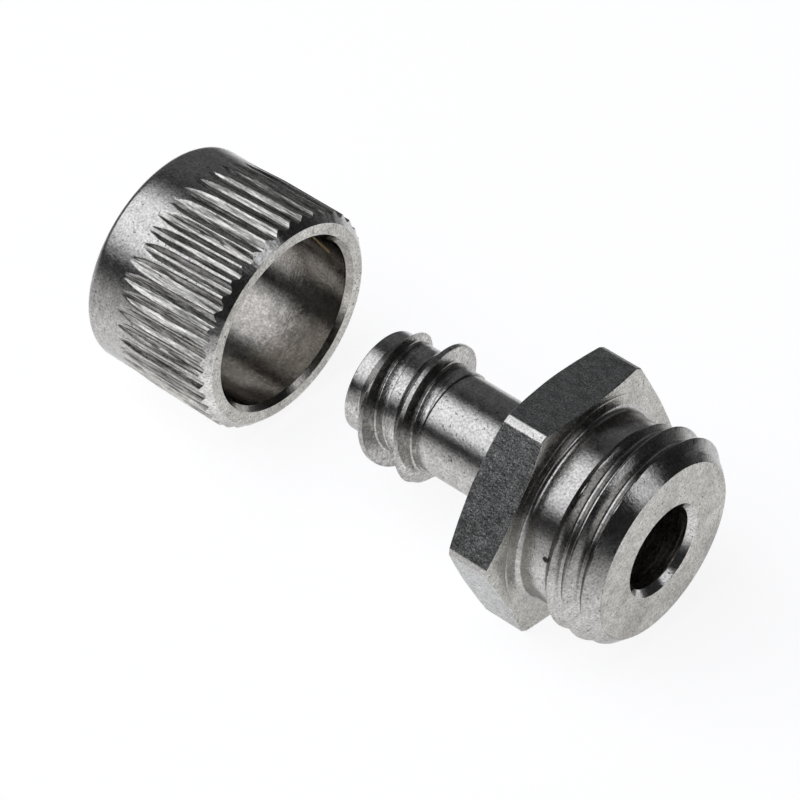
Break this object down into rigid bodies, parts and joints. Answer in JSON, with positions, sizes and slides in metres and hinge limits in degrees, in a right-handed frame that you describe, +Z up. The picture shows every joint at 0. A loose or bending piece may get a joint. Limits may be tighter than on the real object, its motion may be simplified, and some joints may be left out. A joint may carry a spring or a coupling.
{
  "type": "conduit fitting",
  "caption": "Straight conduit fitting: hexagon body with an entry thread, a ridged tail that screws into flexible conduit, and a loose knurled cap.",
  "frame": {"origin": "on the common axis, in the plane of the hexagon's sealing face", "axes": "+X along the axis towards the threaded end, +Z up as it lies on a flat of its hexagon, cap towards -X"},
  "size_m": [0.0358, 0.0158, 0.014],
  "materials": {
    "turned_steel": "turned stainless steel, bare",
    "knurled_steel": "turned and knurled stainless steel, bare"
  },
  "bodies": {
    "body": {"threaded_body": "turned_steel"},
    "cap": {"knurled_cap": "knurled_steel"}
  },
  "joints": [
    {"name": "cap_slide", "type": "slide", "parent": "body", "child": "cap", "axis": [1, 0, 0], "range_m": [0, 0.0181]}
  ]
}
